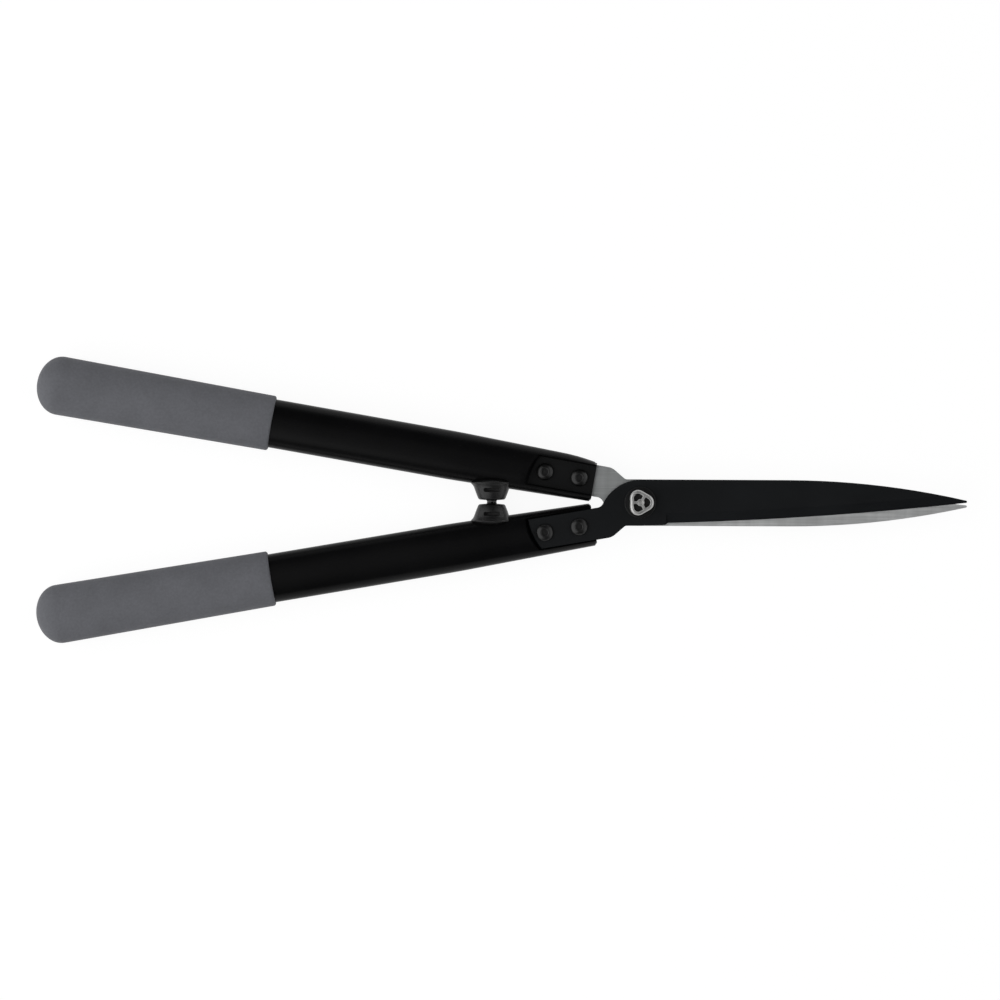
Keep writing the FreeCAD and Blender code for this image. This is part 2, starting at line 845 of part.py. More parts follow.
def write_screw_sets(side, places, top):
    """Writes the screws, washers and locknuts of one half, from the level of their seats."""
    underside = top - blade_thickness - web_thickness
    for position, place in zip(("front", "rear"), places):
        name = side + "_" + position
        write(name + "_tang_screw", tang_screw(place, top))
        write(name + "_tang_washer", tang_washer(place, underside))
        write(name + "_tang_locknut", tang_locknut(place, underside - washer_thickness))


os.makedirs("parts", exist_ok=True)

write("top_blade", blade(round_pivot_hole()))
write("bottom_blade", turned_over(blade(square_pivot_hole())))
write("right_handle_tube", handle_tube())
write("left_handle_tube", turned_over(handle_tube().cut(left_corner())))
for piece_name, piece in (
    ("grip", grip()),
    ("tube_plug", tube_plug()),
    ("bumper", bumper()),
):
    write("right_" + piece_name, piece)
    write("left_" + piece_name, turned_over(piece))

right_places = screw_places()
left_places = [Vector(place.x, -place.y, 0) for place in right_places]
write_screw_sets("right", right_places, outer_face)
write_screw_sets("left", left_places, web_thickness - inner_face)

write("pivot_bolt", pivot_bolt())
write("pivot_washer", pivot_washer())
write("pivot_spring_washer", pivot_spring_washer())
write("pivot_nut", pivot_nut())
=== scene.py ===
import math

import bmesh
import bpy
from mathutils import Matrix, Vector, geometry


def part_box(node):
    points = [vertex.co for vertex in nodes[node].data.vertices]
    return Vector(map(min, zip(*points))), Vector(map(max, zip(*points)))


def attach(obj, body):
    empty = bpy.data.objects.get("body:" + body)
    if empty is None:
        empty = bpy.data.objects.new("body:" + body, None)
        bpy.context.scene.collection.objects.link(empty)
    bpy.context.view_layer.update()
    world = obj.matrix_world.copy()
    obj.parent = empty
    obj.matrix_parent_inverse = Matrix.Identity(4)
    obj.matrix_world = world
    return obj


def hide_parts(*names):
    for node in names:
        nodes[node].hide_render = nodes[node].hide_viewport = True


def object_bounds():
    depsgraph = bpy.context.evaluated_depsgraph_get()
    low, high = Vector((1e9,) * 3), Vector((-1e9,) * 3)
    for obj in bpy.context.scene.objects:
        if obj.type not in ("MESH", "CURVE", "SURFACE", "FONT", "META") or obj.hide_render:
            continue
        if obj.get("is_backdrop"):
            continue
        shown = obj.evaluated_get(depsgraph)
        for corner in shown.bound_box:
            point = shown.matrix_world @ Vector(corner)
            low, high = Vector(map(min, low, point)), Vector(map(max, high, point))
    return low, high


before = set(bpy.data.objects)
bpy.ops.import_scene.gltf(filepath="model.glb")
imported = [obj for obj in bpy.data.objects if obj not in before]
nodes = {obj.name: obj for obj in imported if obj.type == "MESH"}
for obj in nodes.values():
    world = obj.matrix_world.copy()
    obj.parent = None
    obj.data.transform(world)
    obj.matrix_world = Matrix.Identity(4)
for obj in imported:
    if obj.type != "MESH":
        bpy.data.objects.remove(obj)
cad_low, cad_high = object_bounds()

mm = 0.001


# The two blades are one pattern of steel plate, the lower one turned over. A black non-stick coat
# covers them. The faces that slide on each other are ground bare after coating, so a fine bright
# line shows along their corners, and from the pivot to the tip they are honed brighter.

shear_plane = 7.55 * mm
bare_reach = 0.16 * mm
bare_fade = 0.04 * mm
honed_from = 4 * mm
honed_to = 18 * mm
blade_coat_colour = (0.0042, 0.0052, 0.0063, 1)
ground_steel_colour = (0.49, 0.505, 0.505, 1)
honed_steel_colour = (0.73, 0.74, 0.74, 1)
honing_scatter = 0.05
low_tone = 0.3
high_tone = 0.7


def feed(tree, socket, value):
    """Links a socket to another node's output, or gives it a plain value."""
    if isinstance(value, bpy.types.NodeSocket):
        tree.links.new(value, socket)
    else:
        socket.default_value = value


def add(tree, kind, inputs=None, **settings):
    """One node with its settings and its inputs, which are values or other nodes' outputs."""
    made = tree.nodes.new(kind)
    for name, value in settings.items():
        setattr(made, name, value)
    for name, value in (inputs or {}).items():
        feed(tree, made.inputs[name], value)
    return made


def noise_group():
    """Noise with its waves per metre along each axis, as a tone, and as relief in metres."""
    tree = bpy.data.node_groups.new("fine surface noise", "ShaderNodeTree")
    sockets = tree.interface
    sockets.new_socket("Waves", in_out="INPUT", socket_type="NodeSocketVector")
    sockets.new_socket("Relief", in_out="INPUT", socket_type="NodeSocketFloat")
    sockets.new_socket("Tone", in_out="OUTPUT", socket_type="NodeSocketFloat")
    sockets.new_socket("Normal", in_out="OUTPUT", socket_type="NodeSocketVector")
    given = tree.nodes.new("NodeGroupInput").outputs
    place = add(tree, "ShaderNodeTexCoord").outputs["Object"]
    stretched = add(
        tree, "ShaderNodeVectorMath", {0: place, 1: given["Waves"]}, operation="MULTIPLY"
    )
    noise = add(
        tree, "ShaderNodeTexNoise", {"Vector": stretched.outputs[0], "Scale": 1.0, "Detail": 3.0}
    )
    tone = noise.outputs["Fac"]
    bump = add(
        tree,
        "ShaderNodeBump",
        {"Strength": 1.0, "Distance": given["Relief"], "Height": tone},
    )
    result = tree.nodes.new("NodeGroupOutput").inputs
    tree.links.new(tone, result["Tone"])
    tree.links.new(bump.outputs["Normal"], result["Normal"])
    return tree


surface_noise = noise_group()


def noise(tree, waves, relief=0.0):
    """The noise group in a material, with waves per metre along X, Y and Z."""
    sockets = {"Waves": waves, "Relief": relief}
    return add(tree, "ShaderNodeGroup", sockets, node_tree=surface_noise).outputs


def spread(tree, tone, low, high):
    """A tone round a half, spread between two values."""
    ranges = {
        "Value": tone,
        "From Min": low_tone,
        "From Max": high_tone,
        "To Min": low,
        "To Max": high,
    }
    return add(tree, "ShaderNodeMapRange", ranges).outputs["Result"]


def blended(tree, share, first, second):
    """The first colour, going over to the second as the share rises."""
    colours = {0: share, 6: first, 7: second}
    return add(tree, "ShaderNodeMix", colours, data_type="RGBA").outputs[2]


def shaded(tree, colour, tone):
    """A colour times a tone."""
    if not isinstance(colour, bpy.types.NodeSocket):
        colour = colour[:3]
    scaled = add(tree, "ShaderNodeVectorMath", {0: colour, "Scale": tone}, operation="SCALE")
    return scaled.outputs[0]


def new_material(name):
    """A material, its node tree and its shader."""
    material = bpy.data.materials.new(name)
    material.use_nodes = True
    return material, material.node_tree, material.node_tree.nodes["Principled BSDF"]


def dress(shader, **inputs):
    """Sets or links the shader's sockets, named with underscores for spaces."""
    for name, value in inputs.items():
        feed(shader.id_data, shader.inputs[name.replace("_", " ")], value)


def blade_material():
    """Black coat, giving way to ground steel at the face that slides on the other blade."""
    material, tree, shader = new_material("coated and ground blade")
    place = add(tree, "ShaderNodeTexCoord").outputs["Object"]
    parts = add(tree, "ShaderNodeSeparateXYZ", {0: place}).outputs
    above = add(tree, "ShaderNodeMath", {0: parts["Z"], 1: shear_plane}, operation="SUBTRACT")
    away = add(tree, "ShaderNodeMath", {0: above.outputs[0]}, operation="ABSOLUTE")
    bare = add(
        tree,
        "ShaderNodeMapRange",
        {
            "Value": away.outputs[0],
            "From Min": bare_reach + bare_fade,
            "From Max": bare_reach,
            "To Min": 0.0,
            "To Max": 1.0,
        },
    ).outputs["Result"]
    streaks = noise(tree, waves=(35, 1400, 1400))
    bands = noise(tree, waves=(160, 22, 90))
    grain = noise(tree, waves=(2600, 2600, 2600), relief=0.004 * mm)
    cloud = noise(tree, waves=(28, 45, 45))
    honed = add(
        tree,
        "ShaderNodeMapRange",
        {"Value": parts["X"], "From Min": honed_from, "From Max": honed_to},
    ).outputs["Result"]
    steel = blended(tree, honed, ground_steel_colour, honed_steel_colour)
    steel = shaded(tree, steel, spread(tree, streaks["Tone"], low=0.88, high=1.08))
    steel = shaded(tree, steel, spread(tree, bands["Tone"], low=0.9, high=1.06))
    coat = shaded(tree, blade_coat_colour, spread(tree, cloud["Tone"], low=0.85, high=1.2))
    coat_roughness = spread(tree, cloud["Tone"], low=0.40, high=0.46)
    steel_roughness = add(
        tree,
        "ShaderNodeMath",
        {0: honed, 1: honing_scatter, 2: spread(tree, streaks["Tone"], low=0.34, high=0.46)},
        operation="MULTIPLY_ADD",
    ).outputs[0]
    roughness = add(
        tree, "ShaderNodeMix", {0: bare, 2: coat_roughness, 3: steel_roughness}
    ).outputs[0]
    dress(
        shader,
        Base_Color=blended(tree, bare, coat, steel),
        Metallic=bare,
        Roughness=roughness,
        Specular_IOR_Level=0.22,
        Normal=grain["Normal"],
    )
    return material


blade_finish = blade_material()
for blade in ("top_blade", "bottom_blade"):
    nodes[blade].material_slots[0].material = blade_finish


# The handles are oval tubes with a satin black powder coat. Each is tapered and pressed flat in
# front, with a pocket on both faces: the wide one takes the blade's tang, and the other one lies
# opposite it. The left tube's outer front corner is cut back in a longer curve.

handle_turn = math.radians(189.8)
handle_offset = 8.5 * mm
tube_middle = 6.1 * mm
tube_front = 30.4 * mm
tube_taper_end = 118.0 * mm
tube_taper_blend = 4 * mm
tube_end = 365.0 * mm
tube_rear_ring_gap = 10 * mm
tube_bore_start = tube_taper_end + 14 * mm
tube_half_width = 15.1 * mm
tube_half_height = 10.0 * mm
front_half_width = 13.2 * mm
front_half_height = 8.2 * mm
tube_wall = 1.5 * mm
web_half_thickness = 1.5 * mm
# Each pocket's half width at its floor, and how far its sides lean out as they rise.
tang_pocket = (10.2 * mm, 0.06)
opposite_pocket = (8.9 * mm, 0.19)
pocket_floor_shares = (1.0, 0.72, 0.48, 0.24, 0.0, -0.24, -0.48, -0.72, -1.0)
pocket_rim_rounds = 3
pocket_end_centre = (33.7 * mm, -9.3 * mm)
pocket_end_radius = 37.0 * mm
pocket_end_lean = 0.27
pocket_end_reach = 10.6 * mm
pocket_end_gap = 4 * mm
pocket_end_stations = (61 * mm, 66 * mm, 68 * mm, 72 * mm)
web_stations = [station * mm for station in (34, 38, 43, 49, 55)]
tube_past_pocket = 86 * mm
side_lines = 6
outer_corner = 1.5 * mm
inner_corner = 1.2 * mm
left_corner_length = 21.6 * mm
left_corner_drop = 2.0 * mm
least_side = 0.4 * mm
pressed_corner_angle = 32
pressed_corner_reach = 80 * mm
pressed_edge_rounding = 0.7 * mm
pressed_edge_segments = 4
level_tolerance = 0.01 * mm
smooth_angle = 35
sliver_size = 0.002 * mm
tube_colour = (0.003, 0.003, 0.0033, 1)
# A lighter colour painted on the pressed flats as sheen.
painted_flat_sheen_colour = (0.0085, 0.0087, 0.009, 1)

right_handle = Matrix.Rotation(handle_turn, 4, "Z") @ Matrix.Translation(
    (0, handle_offset, tube_middle)
)
turned_over = Matrix.Translation((0, 0, 2 * shear_plane)) @ Matrix.Rotation(math.pi, 4, "X")
sides = {"right": Matrix.Identity(4), "left": turned_over}


def show(name, shape, matrix, material, body, slot, *replaced):
    """A piece with its place in its mesh, smooth up to an angle, that rides on a body."""
    mesh = bpy.data.meshes.new(name)
    shape.to_mesh(mesh)
    mesh.transform(matrix)
    mesh.materials.append(material)
    mesh.shade_smooth()
    mesh.set_sharp_from_angle(angle=math.radians(smooth_angle))
    piece = bpy.data.objects.new(name, mesh)
    bpy.context.scene.collection.objects.link(piece)
    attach(piece, body)
    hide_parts(*replaced)
    return piece


def round_off(shape, edges, rounding, segments):
    """Rounds edges of a shape, and clears the slivers that this leaves."""
    bmesh.ops.bevel(
        shape,
        geom=edges,
        offset=rounding,
        offset_type="OFFSET",
        segments=segments,
        profile=0.5,
        affect="EDGES",
        clamp_overlap=True,
        material=-1,
    )
    bmesh.ops.dissolve_degenerate(shape, dist=sliver_size, edges=shape.edges)


def sharp_edges(shape, angle):
    """The edges that turn by more than an angle in degrees."""
    return [edge for edge in shape.edges if edge.calc_face_angle(0) > math.radians(angle)]


def section_lines():
    """The lines that run along the tube, round its section: what each follows, how far out it
    lies, as a share, and whether it is on the upper or the lower half."""
    side_shares = [line / side_lines for line in range(1, side_lines + 1)]
    lines = []
    for up in (1, -1):
        lines += [("side", up * share, up) for share in reversed(side_shares)]
        lines += [("rim", up, up)]
        lines += [("floor", up * share, up) for share in pocket_floor_shares]
        lines += [("rim", -up, up)]
        lines += [("side", -up * share, up) for share in side_shares[:-1]]
    return lines


def skin_point(line, station):
    """Where a line of the section lies at a station: across the tube, and up on its skin. The
    pocket's rim depends on the skin's level there, so it is found in a few rounds."""
    kind, share, up = line
    taper = min(1.0, (station - tube_front) / (tube_taper_end - tube_front))
    width = front_half_width + (tube_half_width - front_half_width) * taper
    height = front_half_height + (tube_half_height - front_half_height) * taper
    floor_side, lean = tang_pocket if up > 0 else opposite_pocket
    rim = floor_side
    for _ in range(pocket_rim_rounds):
        level = height * math.sqrt(1 - (rim / width) ** 2)
        rim = floor_side + lean * (level - web_half_thickness)
    if kind == "side":
        angle = math.acos(rim / width) * (1 - abs(share))
        across = math.copysign(width * math.cos(angle), share)
    else:
        across = share * (rim if kind == "rim" else floor_side)
    level = height * math.sqrt(1 - min(1.0, abs(across) / width) ** 2)
    return across, level, rim, width


def tube_point(line, ring, longer_corner):
    """Where one line of the section meets one ring of the tube."""
    station = ring["station"]
    across, level, rim, width = skin_point(line, station)
    if "beyond_end" in ring:
        rise = 0 if ring["pressed"] else level - web_half_thickness
        radius = pocket_end_radius + pocket_end_lean * rise
        reach = max(-pocket_end_reach, min(pocket_end_reach, across)) - pocket_end_centre[1]
        station = pocket_end_centre[0] + math.sqrt(radius**2 - reach**2) + ring["beyond_end"]
        across, level, rim, width = skin_point(line, station)
    if line[0] == "floor" and ring["pressed"]:
        level = web_half_thickness
    if line[0] == "side":
        corner = outer_corner if across > 0 else inner_corner
        cut = max(0, tube_front + corner - station)
        if longer_corner and across > 0:
            share = max(0, 1 - (station - tube_front) / left_corner_length)
            cut += left_corner_drop * share**2
        room = width - rim
        left_over = max(least_side, room - cut) / room
        across = math.copysign(rim + (abs(across) - rim) * left_over, across)
    if ring["inside"]:
        across *= 1 - tube_wall / tube_half_width
        level *= 1 - tube_wall / tube_half_height
    return Vector((station, across, line[2] * level))


def tube_ring(station, pressed=False, inside=False, **end):
    """One ring of the tube. With beyond_end it follows the pocket's rounded end, that far on."""
    return {"station": station, "pressed": pressed, "inside": inside, **end}


def tube_shape(longer_corner):
    """The tube in the handle's own place: X along it, Y outward, Z up from its middle."""
    front_stations = [tube_front, tube_front + inner_corner, tube_front + outer_corner]
    before, foot, rim, past = pocket_end_stations
    rings = [tube_ring(station, pressed=True) for station in front_stations + web_stations]
    rings += [
        tube_ring(before, pressed=True, beyond_end=-pocket_end_gap),
        tube_ring(foot, pressed=True, beyond_end=0),
        tube_ring(rim, beyond_end=0),
        tube_ring(past, beyond_end=pocket_end_gap),
        tube_ring(tube_past_pocket),
        tube_ring(tube_taper_end - tube_taper_blend),
        tube_ring(tube_taper_end + tube_taper_blend),
        tube_ring(tube_end - tube_rear_ring_gap),
        tube_ring(tube_end),
        tube_ring(tube_end, inside=True),
        tube_ring(tube_bore_start, inside=True),
    ]
    shape = bmesh.new()
    mark = shape.verts.layers.int.new("line")
    lines = section_lines()
    circle = bmesh.ops.create_circle(shape, segments=len(lines), radius=1)["verts"]
    for number, vert in enumerate(circle):
        vert[mark] = number
    verts, edges = list(shape.verts), list(shape.edges)
    front = list(edges)
    for number, ring in enumerate(rings):
        if number:
            grown = bmesh.ops.extrude_edge_only(shape, edges=edges)["geom"]
            verts = [item for item in grown if isinstance(item, bmesh.types.BMVert)]
            edges = [item for item in grown if isinstance(item, bmesh.types.BMEdge)]
        for vert in verts:
            vert.co = tube_point(lines[vert[mark]], ring, longer_corner)
    bmesh.ops.contextual_create(shape, geom=front)
    bmesh.ops.contextual_create(shape, geom=edges)
    bmesh.ops.recalc_face_normals(shape, faces=shape.faces)
    pressed = [
        edge for edge in sharp_edges(shape, pressed_corner_angle)
        if max(vert.co.x for vert in edge.verts) < pressed_corner_reach
    ]
    round_off(shape, pressed, pressed_edge_rounding, pressed_edge_segments)
    # Marks the pressed flats, which get a painted sheen in the material.
    flat = shape.verts.layers.float.new("pressed_flat")
    for vert in shape.verts:
        on_floor = abs(abs(vert.co.z) - web_half_thickness) < level_tolerance
        within = abs(vert.co.y) < tang_pocket[0] + level_tolerance
        vert[flat] = 1.0 if on_floor and within else 0.0
    return shape


def tube_material():
    """Satin black powder coat with a faint orange peel, and a painted sheen on the pressed flats.
    """
    material, tree, shader = new_material("black powder coat")
    peel = noise(tree, waves=(900, 900, 900), relief=0.012 * mm)
    cloud = noise(tree, waves=(30, 30, 30))
    flat = add(tree, "ShaderNodeAttribute", attribute_name="pressed_flat").outputs["Fac"]
    # Painted sheen: the pressed flats take a lighter colour that stands in for the light they
    # reflect.
    coat = blended(tree, flat, tube_colour, painted_flat_sheen_colour)
    dress(
        shader,
        Base_Color=shaded(tree, coat, spread(tree, cloud["Tone"], low=0.85, high=1.2)),
        Roughness=spread(tree, cloud["Tone"], low=0.28, high=0.34),
        Specular_IOR_Level=0.12,
        Normal=peel["Normal"],
    )
    return material


tube_finish = tube_material()
for side, turn in sides.items():
    show(
        f"{side}_coated_tube",
        tube_shape(longer_corner=side == "left"),
        turn @ right_handle,
        tube_finish,
        f"{side}_half",
        "powder_coated_tube",
        f"{side}_handle_tube",
    )


# Four M6 button-head socket screws of blackened steel clamp the tangs into the handles. Their
# heads are cold formed domes with a hexagon socket that has a rounded mouth.

screw_tip = -14.0
screw_end_chamfer = 0.5
screw_radius = 3.0
screw_head_radius = 5.25
screw_head_edge = 0.15
screw_head_rim = 1.2
screw_head_height = 3.3
screw_crown_radius = 2.65
screw_crown_slope = 12
screw_shoulder_slope = 38
screw_dome_rounding = 5.0
screw_mouth_rounding = 0.95
screw_mouth_slope = 45
screw_socket_width = 4.0
screw_socket_floor = 1.2
screw_sides = 72
screw_dome_steps = 8
screw_mouth_steps = 6
weld_distance = 0.001 * mm
screw_colour = (0.0015, 0.0015, 0.0017, 1)


def turned(profile, steps):
    """A closed solid turned about the X axis, from places along it and radii in millimetres."""
    shape = bmesh.new()
    chain = [shape.verts.new((along * mm, radius * mm, 0)) for along, radius in profile]
    edges = [shape.edges.new(pair) for pair in zip(chain, chain[1:])]
    bmesh.ops.spin(
        shape,
        geom=chain + edges,
        axis=(1, 0, 0),
        cent=(0, 0, 0),
        angle=2 * math.pi,
        steps=steps,
        use_merge=True,
    )
    bmesh.ops.remove_doubles(shape, verts=shape.verts, dist=weld_distance)
    bmesh.ops.recalc_face_normals(shape, faces=shape.faces)
    return shape


def cut_out(shape, cutters):
    """A shape with other shapes cut out of it."""
    pieces = []
    for part in (shape, *cutters):
        mesh = bpy.data.meshes.new("part")
        part.to_mesh(mesh)
        pieces.append(bpy.data.objects.new("part", mesh))
        bpy.context.scene.collection.objects.link(pieces[-1])
    for cutter in pieces[1:]:
        cut = pieces[0].modifiers.new("cut", "BOOLEAN")
        cut.operation = "DIFFERENCE"
        cut.object = cutter
        cut.solver = "EXACT"
    cut_mesh = bpy.data.meshes.new_from_object(
        pieces[0].evaluated_get(bpy.context.evaluated_depsgraph_get())
    )
    result = bmesh.new()
    result.from_mesh(cut_mesh)
    for used in pieces:
        bpy.data.objects.remove(used)
    bmesh.ops.remove_doubles(result, verts=result.verts, dist=weld_distance)
    return result


def screw_profile():
    """From the tip, up the shank, under the head, over its dome and into the socket's mouth."""
    profile = [
        (screw_tip, 0),
        (screw_tip, screw_radius - screw_end_chamfer),
        (screw_tip + screw_end_chamfer, screw_radius),
        (0, screw_radius),
        (0, screw_head_radius - screw_head_edge),
        (screw_head_edge, screw_head_radius),
    ]
    crown, shoulder = math.radians(screw_crown_slope), math.radians(screw_shoulder_slope)
    shoulder_radius = screw_crown_radius + screw_dome_rounding * (
        math.sin(shoulder) - math.sin(crown)
    )
    shoulder_height = screw_head_height - screw_dome_rounding * (
        math.cos(crown) - math.cos(shoulder)
    )
    edge_width = screw_head_radius - shoulder_radius
    for step in range(screw_dome_steps):
        slope = math.pi / 2 + (shoulder - math.pi / 2) * step / screw_dome_steps
        out = (math.sin(slope) - math.sin(shoulder)) / (1 - math.sin(shoulder))
        drop = 1 - math.cos(slope) / math.cos(shoulder)
        along = shoulder_height + (screw_head_rim - shoulder_height) * drop
        profile.append((along, shoulder_radius + edge_width * out))
    for step in range(screw_dome_steps + 1):
        slope = shoulder + (crown - shoulder) * step / screw_dome_steps
        out = screw_dome_rounding * (math.sin(slope) - math.sin(crown))
        drop = screw_dome_rounding * (math.cos(crown) - math.cos(slope))
        profile.append((screw_head_height - drop, screw_crown_radius + out))
    for step in range(1, screw_mouth_steps + 1):
        slope = math.radians(screw_mouth_slope) * step / screw_mouth_steps
        along = screw_head_height - screw_mouth_rounding * (1 - math.cos(slope))
        profile.append((along, screw_crown_radius - screw_mouth_rounding * math.sin(slope)))
    profile += [(screw_socket_floor, profile[-1][1]), (screw_socket_floor, 0)]
    return profile


def screw_shape():
    """A screw that stands on its head's underside, its socket's corners cut out."""
    shape = turned(screw_profile(), screw_sides)
    bmesh.ops.rotate(
        shape, cent=(0, 0, 0), matrix=Matrix.Rotation(-math.pi / 2, 3, "Y"), verts=shape.verts
    )
    depth = screw_head_height - screw_socket_floor
    corner = screw_socket_width / math.sqrt(3) * mm
    hexagon = bmesh.new()
    bmesh.ops.create_cone(
        hexagon, cap_ends=True, segments=6, radius1=corner, radius2=corner, depth=2 * depth * mm
    )
    bmesh.ops.translate(
        hexagon, vec=(0, 0, (screw_socket_floor + depth) * mm), verts=hexagon.verts
    )
    return cut_out(shape, [hexagon])


def screw_material():
    """Blackened steel with a soft gloss."""
    material, tree, shader = new_material("blackened screw steel")
    grain = noise(tree, waves=(2200, 2200, 2200), relief=0.003 * mm)
    dress(
        shader,
        Base_Color=shaded(tree, screw_colour, spread(tree, grain["Tone"], low=0.85, high=1.15)),
        Roughness=spread(tree, grain["Tone"], low=0.3, high=0.36),
        Specular_IOR_Level=0.5,
        Normal=grain["Normal"],
    )
    return material


screw_finish = screw_material()
for side in sides:
    for position in ("front", "rear"):
        screw = f"{side}_{position}_tang_screw"
        low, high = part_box(screw)
        show(
            f"{side}_{position}_button_head_screw",
            screw_shape(),
            Matrix.Translation(
                ((low[0] + high[0]) / 2, (low[1] + high[1]) / 2, low[2] - screw_tip * mm)
            ),
            screw_finish,
            f"{side}_half",
            "black_screw_steel",
            screw,
        )


# Under each tang screw sit a flat washer and a locknut of steel, both bright zinc plated. The
# locknut is tightened from below and clamps the tang in its pocket.

zinc_colour = (0.62, 0.64, 0.66, 1)
zinc_edge_rounding = 0.25 * mm
zinc_edge_segments = 2
mesh_weld_distance = 0.002 * mm
flat_angle = 1
corner_angle = 35


def merged(node):
    """A copy of a solid's mesh, merged, with its flat faces in one piece each."""
    shape = bmesh.new()
    shape.from_mesh(nodes[node].data)
    bmesh.ops.remove_doubles(shape, verts=shape.verts, dist=mesh_weld_distance)
    bmesh.ops.dissolve_limit(
        shape, angle_limit=math.radians(flat_angle), verts=shape.verts, edges=shape.edges
    )
    return shape


def softened(node, rounding, segments=3):
    """A merged copy of a solid's mesh with its sharp edges rounded."""
    shape = merged(node)
    round_off(shape, sharp_edges(shape, corner_angle), rounding, segments)
    return shape


def zinc_material():
    """Bright zinc plating, a little clouded."""
    material, tree, shader = new_material("bright zinc plating")
    cloud = noise(tree, waves=(260, 260, 260))
    grain = noise(tree, waves=(2800, 2800, 2800), relief=0.003 * mm)
    dress(
        shader,
        Base_Color=shaded(tree, zinc_colour, spread(tree, cloud["Tone"], low=0.85, high=1.08)),
        Metallic=1.0,
        Roughness=spread(tree, cloud["Tone"], low=0.24, high=0.36),
        Normal=grain["Normal"],
    )
    return material


zinc_finish = zinc_material()
for side in sides:
    for position in ("front", "rear"):
        for part in ("washer", "locknut"):
            fastener = f"{side}_{position}_tang_{part}"
            show(
                f"{side}_{position}_zinc_{part}",
                softened(fastener, zinc_edge_rounding, zinc_edge_segments),
                Matrix.Identity(4),
                zinc_finish,
                f"{side}_half",
                "zinc_plated_steel",
                fastener,
            )


# A black rubber bumper stands on each tube's inner side. It is a moulded cone with a blind slot
# from above and below that lets it give, and a nub that meets the other bumper's.

bumper_x = -91.88 * mm
bumper_level = 6.1 * mm
bumper_height_share = 0.8
bumper_profile = (
    (0.01, 0.0), (0.01, 2.75), (0.1, 2.95), (0.35, 3.05), (0.75, 3.1), (1.0, 3.2), (1.12, 3.6),
    (1.4, 7.2), (1.5, 7.7), (1.8, 8.1), (2.3, 8.5), (5.3, 9.7), (8.9, 11.0), (9.9, 11.5),
    (10.9, 12.35), (11.5, 12.95), (11.9, 13.1), (12.3, 12.8), (13.7, 10.3), (14.1, 9.4),
    (14.1, 0.0),
)
bumper_sides = 72
slot_half_length = 5.0 * mm
slot_half_width = 1.2 * mm
slot_depth_from_middle = 2.0 * mm
slot_setback = 7.34 * mm
slot_end_share = 0.95
slot_end_segments = 6
slot_cutter_height = 20 * mm
bumper_corner_angle = 50
bumper_edge_rounding = 0.3 * mm
bumper_colour = (0.0025, 0.0026, 0.0028, 1)


def slot_cutter(up):
    """A round-ended block where one slot goes in."""
    shape = bmesh.new()
    bmesh.ops.create_cube(shape, size=1)
    upright = [
        edge for edge in shape.edges
        if abs(edge.verts[0].co.z - edge.verts[1].co.z) > 0.5
    ]
    bmesh.ops.scale(
        shape,
        vec=(2 * slot_half_length, 2 * slot_half_width, slot_cutter_height),
        verts=shape.verts,
    )
    bmesh.ops.bevel(
        shape,
        geom=upright,
        offset=slot_half_width * slot_end_share,
        segments=slot_end_segments,
        profile=0.5,
        affect="EDGES",
        material=-1,
    )
    middle = slot_depth_from_middle + slot_cutter_height / 2
    bmesh.ops.translate(
        shape, vec=(bumper_x, -slot_setback, bumper_level + up * middle), verts=shape.verts
    )
    return shape


def bumper_shape():
    """The right half's bumper, its slots cut and its edges softened."""
    cone = turned(bumper_profile, bumper_sides)
    bmesh.ops.scale(cone, vec=(1, 1, bumper_height_share), verts=cone.verts)
    seat = Matrix.Translation((bumper_x, 0, bumper_level)) @ Matrix.Rotation(-math.pi / 2, 4, "Z")
    bmesh.ops.transform(cone, matrix=seat, verts=cone.verts)
    shape = cut_out(cone, [slot_cutter(up) for up in (1, -1)])
    round_off(
        shape, sharp_edges(shape, bumper_corner_angle), bumper_edge_rounding, segments=3
    )
    return shape


def bumper_material():
    """Black rubber with the fine matt skin of its mould."""
    material, tree, shader = new_material("black bumper rubber")
    skin = noise(tree, waves=(1500, 1500, 1500), relief=0.012 * mm)
    cloud = noise(tree, waves=(120, 120, 120))
    dress(
        shader,
        Base_Color=shaded(tree, bumper_colour, spread(tree, cloud["Tone"], low=0.85, high=1.2)),
        Roughness=spread(tree, cloud["Tone"], low=0.37, high=0.43),
        Specular_IOR_Level=0.5,
        Normal=skin["Normal"],
    )
    return material


bumper_finish = bumper_material()
for side, turn in sides.items():
    show(
        f"{side}_rubber_bumper",
        bumper_shape(),
        turn,
        bumper_finish,
        f"{side}_half",
        "bumper_rubber",
        f"{side}_bumper",
    )


# A plug of moulded black plastic closes the rear end of each tube. It is pushed in before the
# grip goes on, and the grip hides it.

plug_colour = (0.012, 0.012, 0.013, 1)


def plug_material():
    """Moulded black plastic."""
    material, tree, shader = new_material("black plug plastic")
    skin = noise(tree, waves=(1200, 1200, 1200), relief=0.01 * mm)
    dress(
        shader,
        Base_Color=shaded(tree, plug_colour, spread(tree, skin["Tone"], low=0.85, high=1.15)),
        Roughness=spread(tree, skin["Tone"], low=0.45, high=0.55),
        Normal=skin["Normal"],
    )
    return material


plug_finish = plug_material()
for side in sides:
    nodes[f"{side}_tube_plug"].material_slots[0].material = plug_finish


# The grips are soft grey sleeves of foamed rubber, pulled over the tubes and glued. They swell
# towards their rounded closed ends, and their skin is matt and finely grained.

grip_front = 233.0
grip_end = 380.8
grip_cap_depth = 14.6
grip_front_radius = 17.1
grip_rear_radius = 18.2
grip_bore_radius = 15.3
grip_bore_end = 367.0
grip_lip_radius = 14.0
grip_lip_length = 4.0
grip_rim = 1.5
grip_height_share = 0.694
grip_sides = 96
grip_rim_steps = 6
grip_sleeve_steps = 12
grip_cap_steps = 16
grip_colour = (0.156, 0.16, 0.176, 1)


